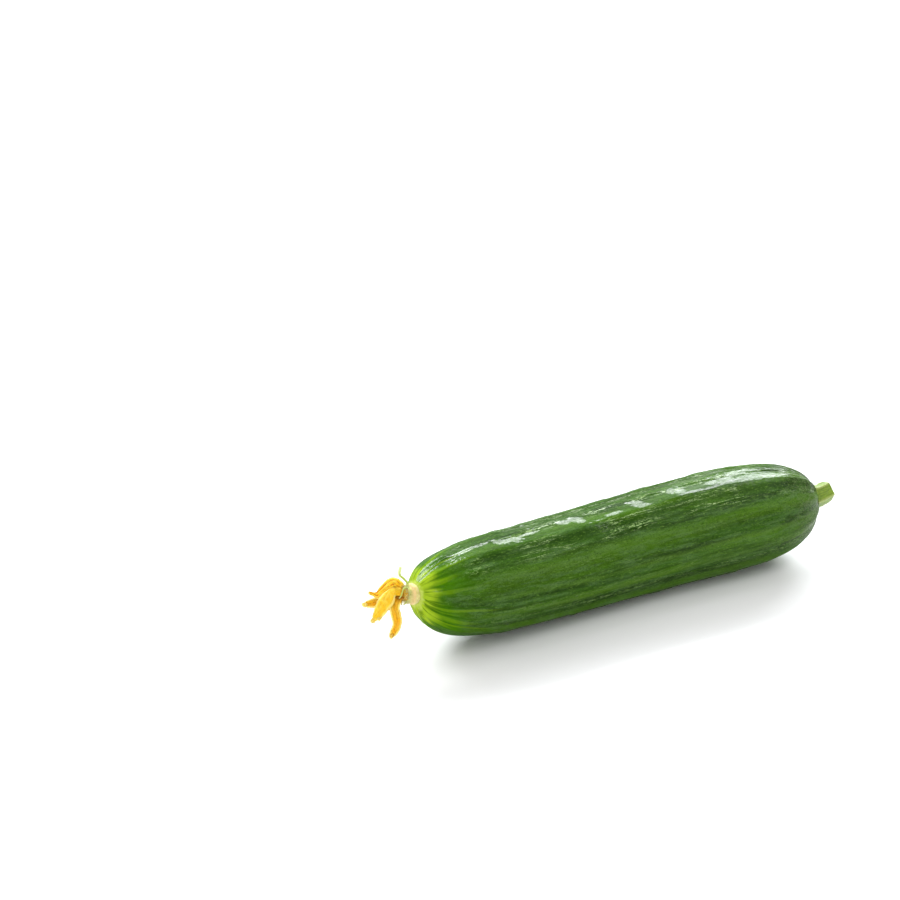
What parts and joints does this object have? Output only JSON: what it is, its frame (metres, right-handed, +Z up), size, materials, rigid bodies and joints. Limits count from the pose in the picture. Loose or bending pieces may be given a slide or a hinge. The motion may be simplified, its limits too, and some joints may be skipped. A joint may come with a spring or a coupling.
{
  "type": "lebanese cucumber",
  "caption": "Whole Lebanese cucumber lying on its side, with faint lengthwise ribs, a stub of cut stalk at one end and the withered flower at the other.",
  "frame": {"origin": "on the surface that the fruit lies on, under the middle of the whole part's box", "axes": "+Z up, +X along the fruit from the flower end to the stalk end"},
  "size_m": [0.1712, 0.037, 0.0342],
  "materials": {
    "skin": "waxy, glossy green skin with pale streaks at the flower end",
    "stalk": "fresh light green, satin",
    "calyx": "pale cream, matt and slightly downy",
    "petals": "withered orange yellow, matt and thin"
  },
  "bodies": {
    "root": {"fruit": "skin", "stalk": "stalk", "calyx": "calyx", "corolla": "petals"}
  },
  "joints": []
}
